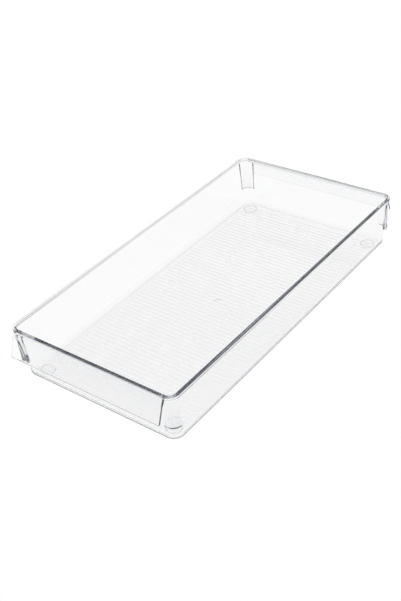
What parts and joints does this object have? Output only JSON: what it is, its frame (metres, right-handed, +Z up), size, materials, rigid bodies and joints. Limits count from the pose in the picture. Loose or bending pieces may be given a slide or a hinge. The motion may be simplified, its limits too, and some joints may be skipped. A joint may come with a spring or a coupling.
{
  "type": "fridge organizer tray",
  "caption": "Clear shallow fridge tray with leaning walls, upright stacking corners, a finely ribbed floor, a turned-down finger lip at each end and small soft feet.",
  "frame": {"origin": "on the shelf under the middle of the tray, level with the feet's treads", "axes": "+Z up, +Y along the long side towards the rear lip, +X to the right seen from the front lip"},
  "size_m": [0.203, 0.4134, 0.0596],
  "materials": {
    "clear_plastic": "clear polished moulding",
    "clear_silicone": "soft clear silicone"
  },
  "bodies": {
    "root": {"tray": "clear_plastic", "foot_front_left": "clear_silicone", "foot_front_right": "clear_silicone", "foot_rear_left": "clear_silicone", "foot_rear_right": "clear_silicone"}
  },
  "joints": []
}
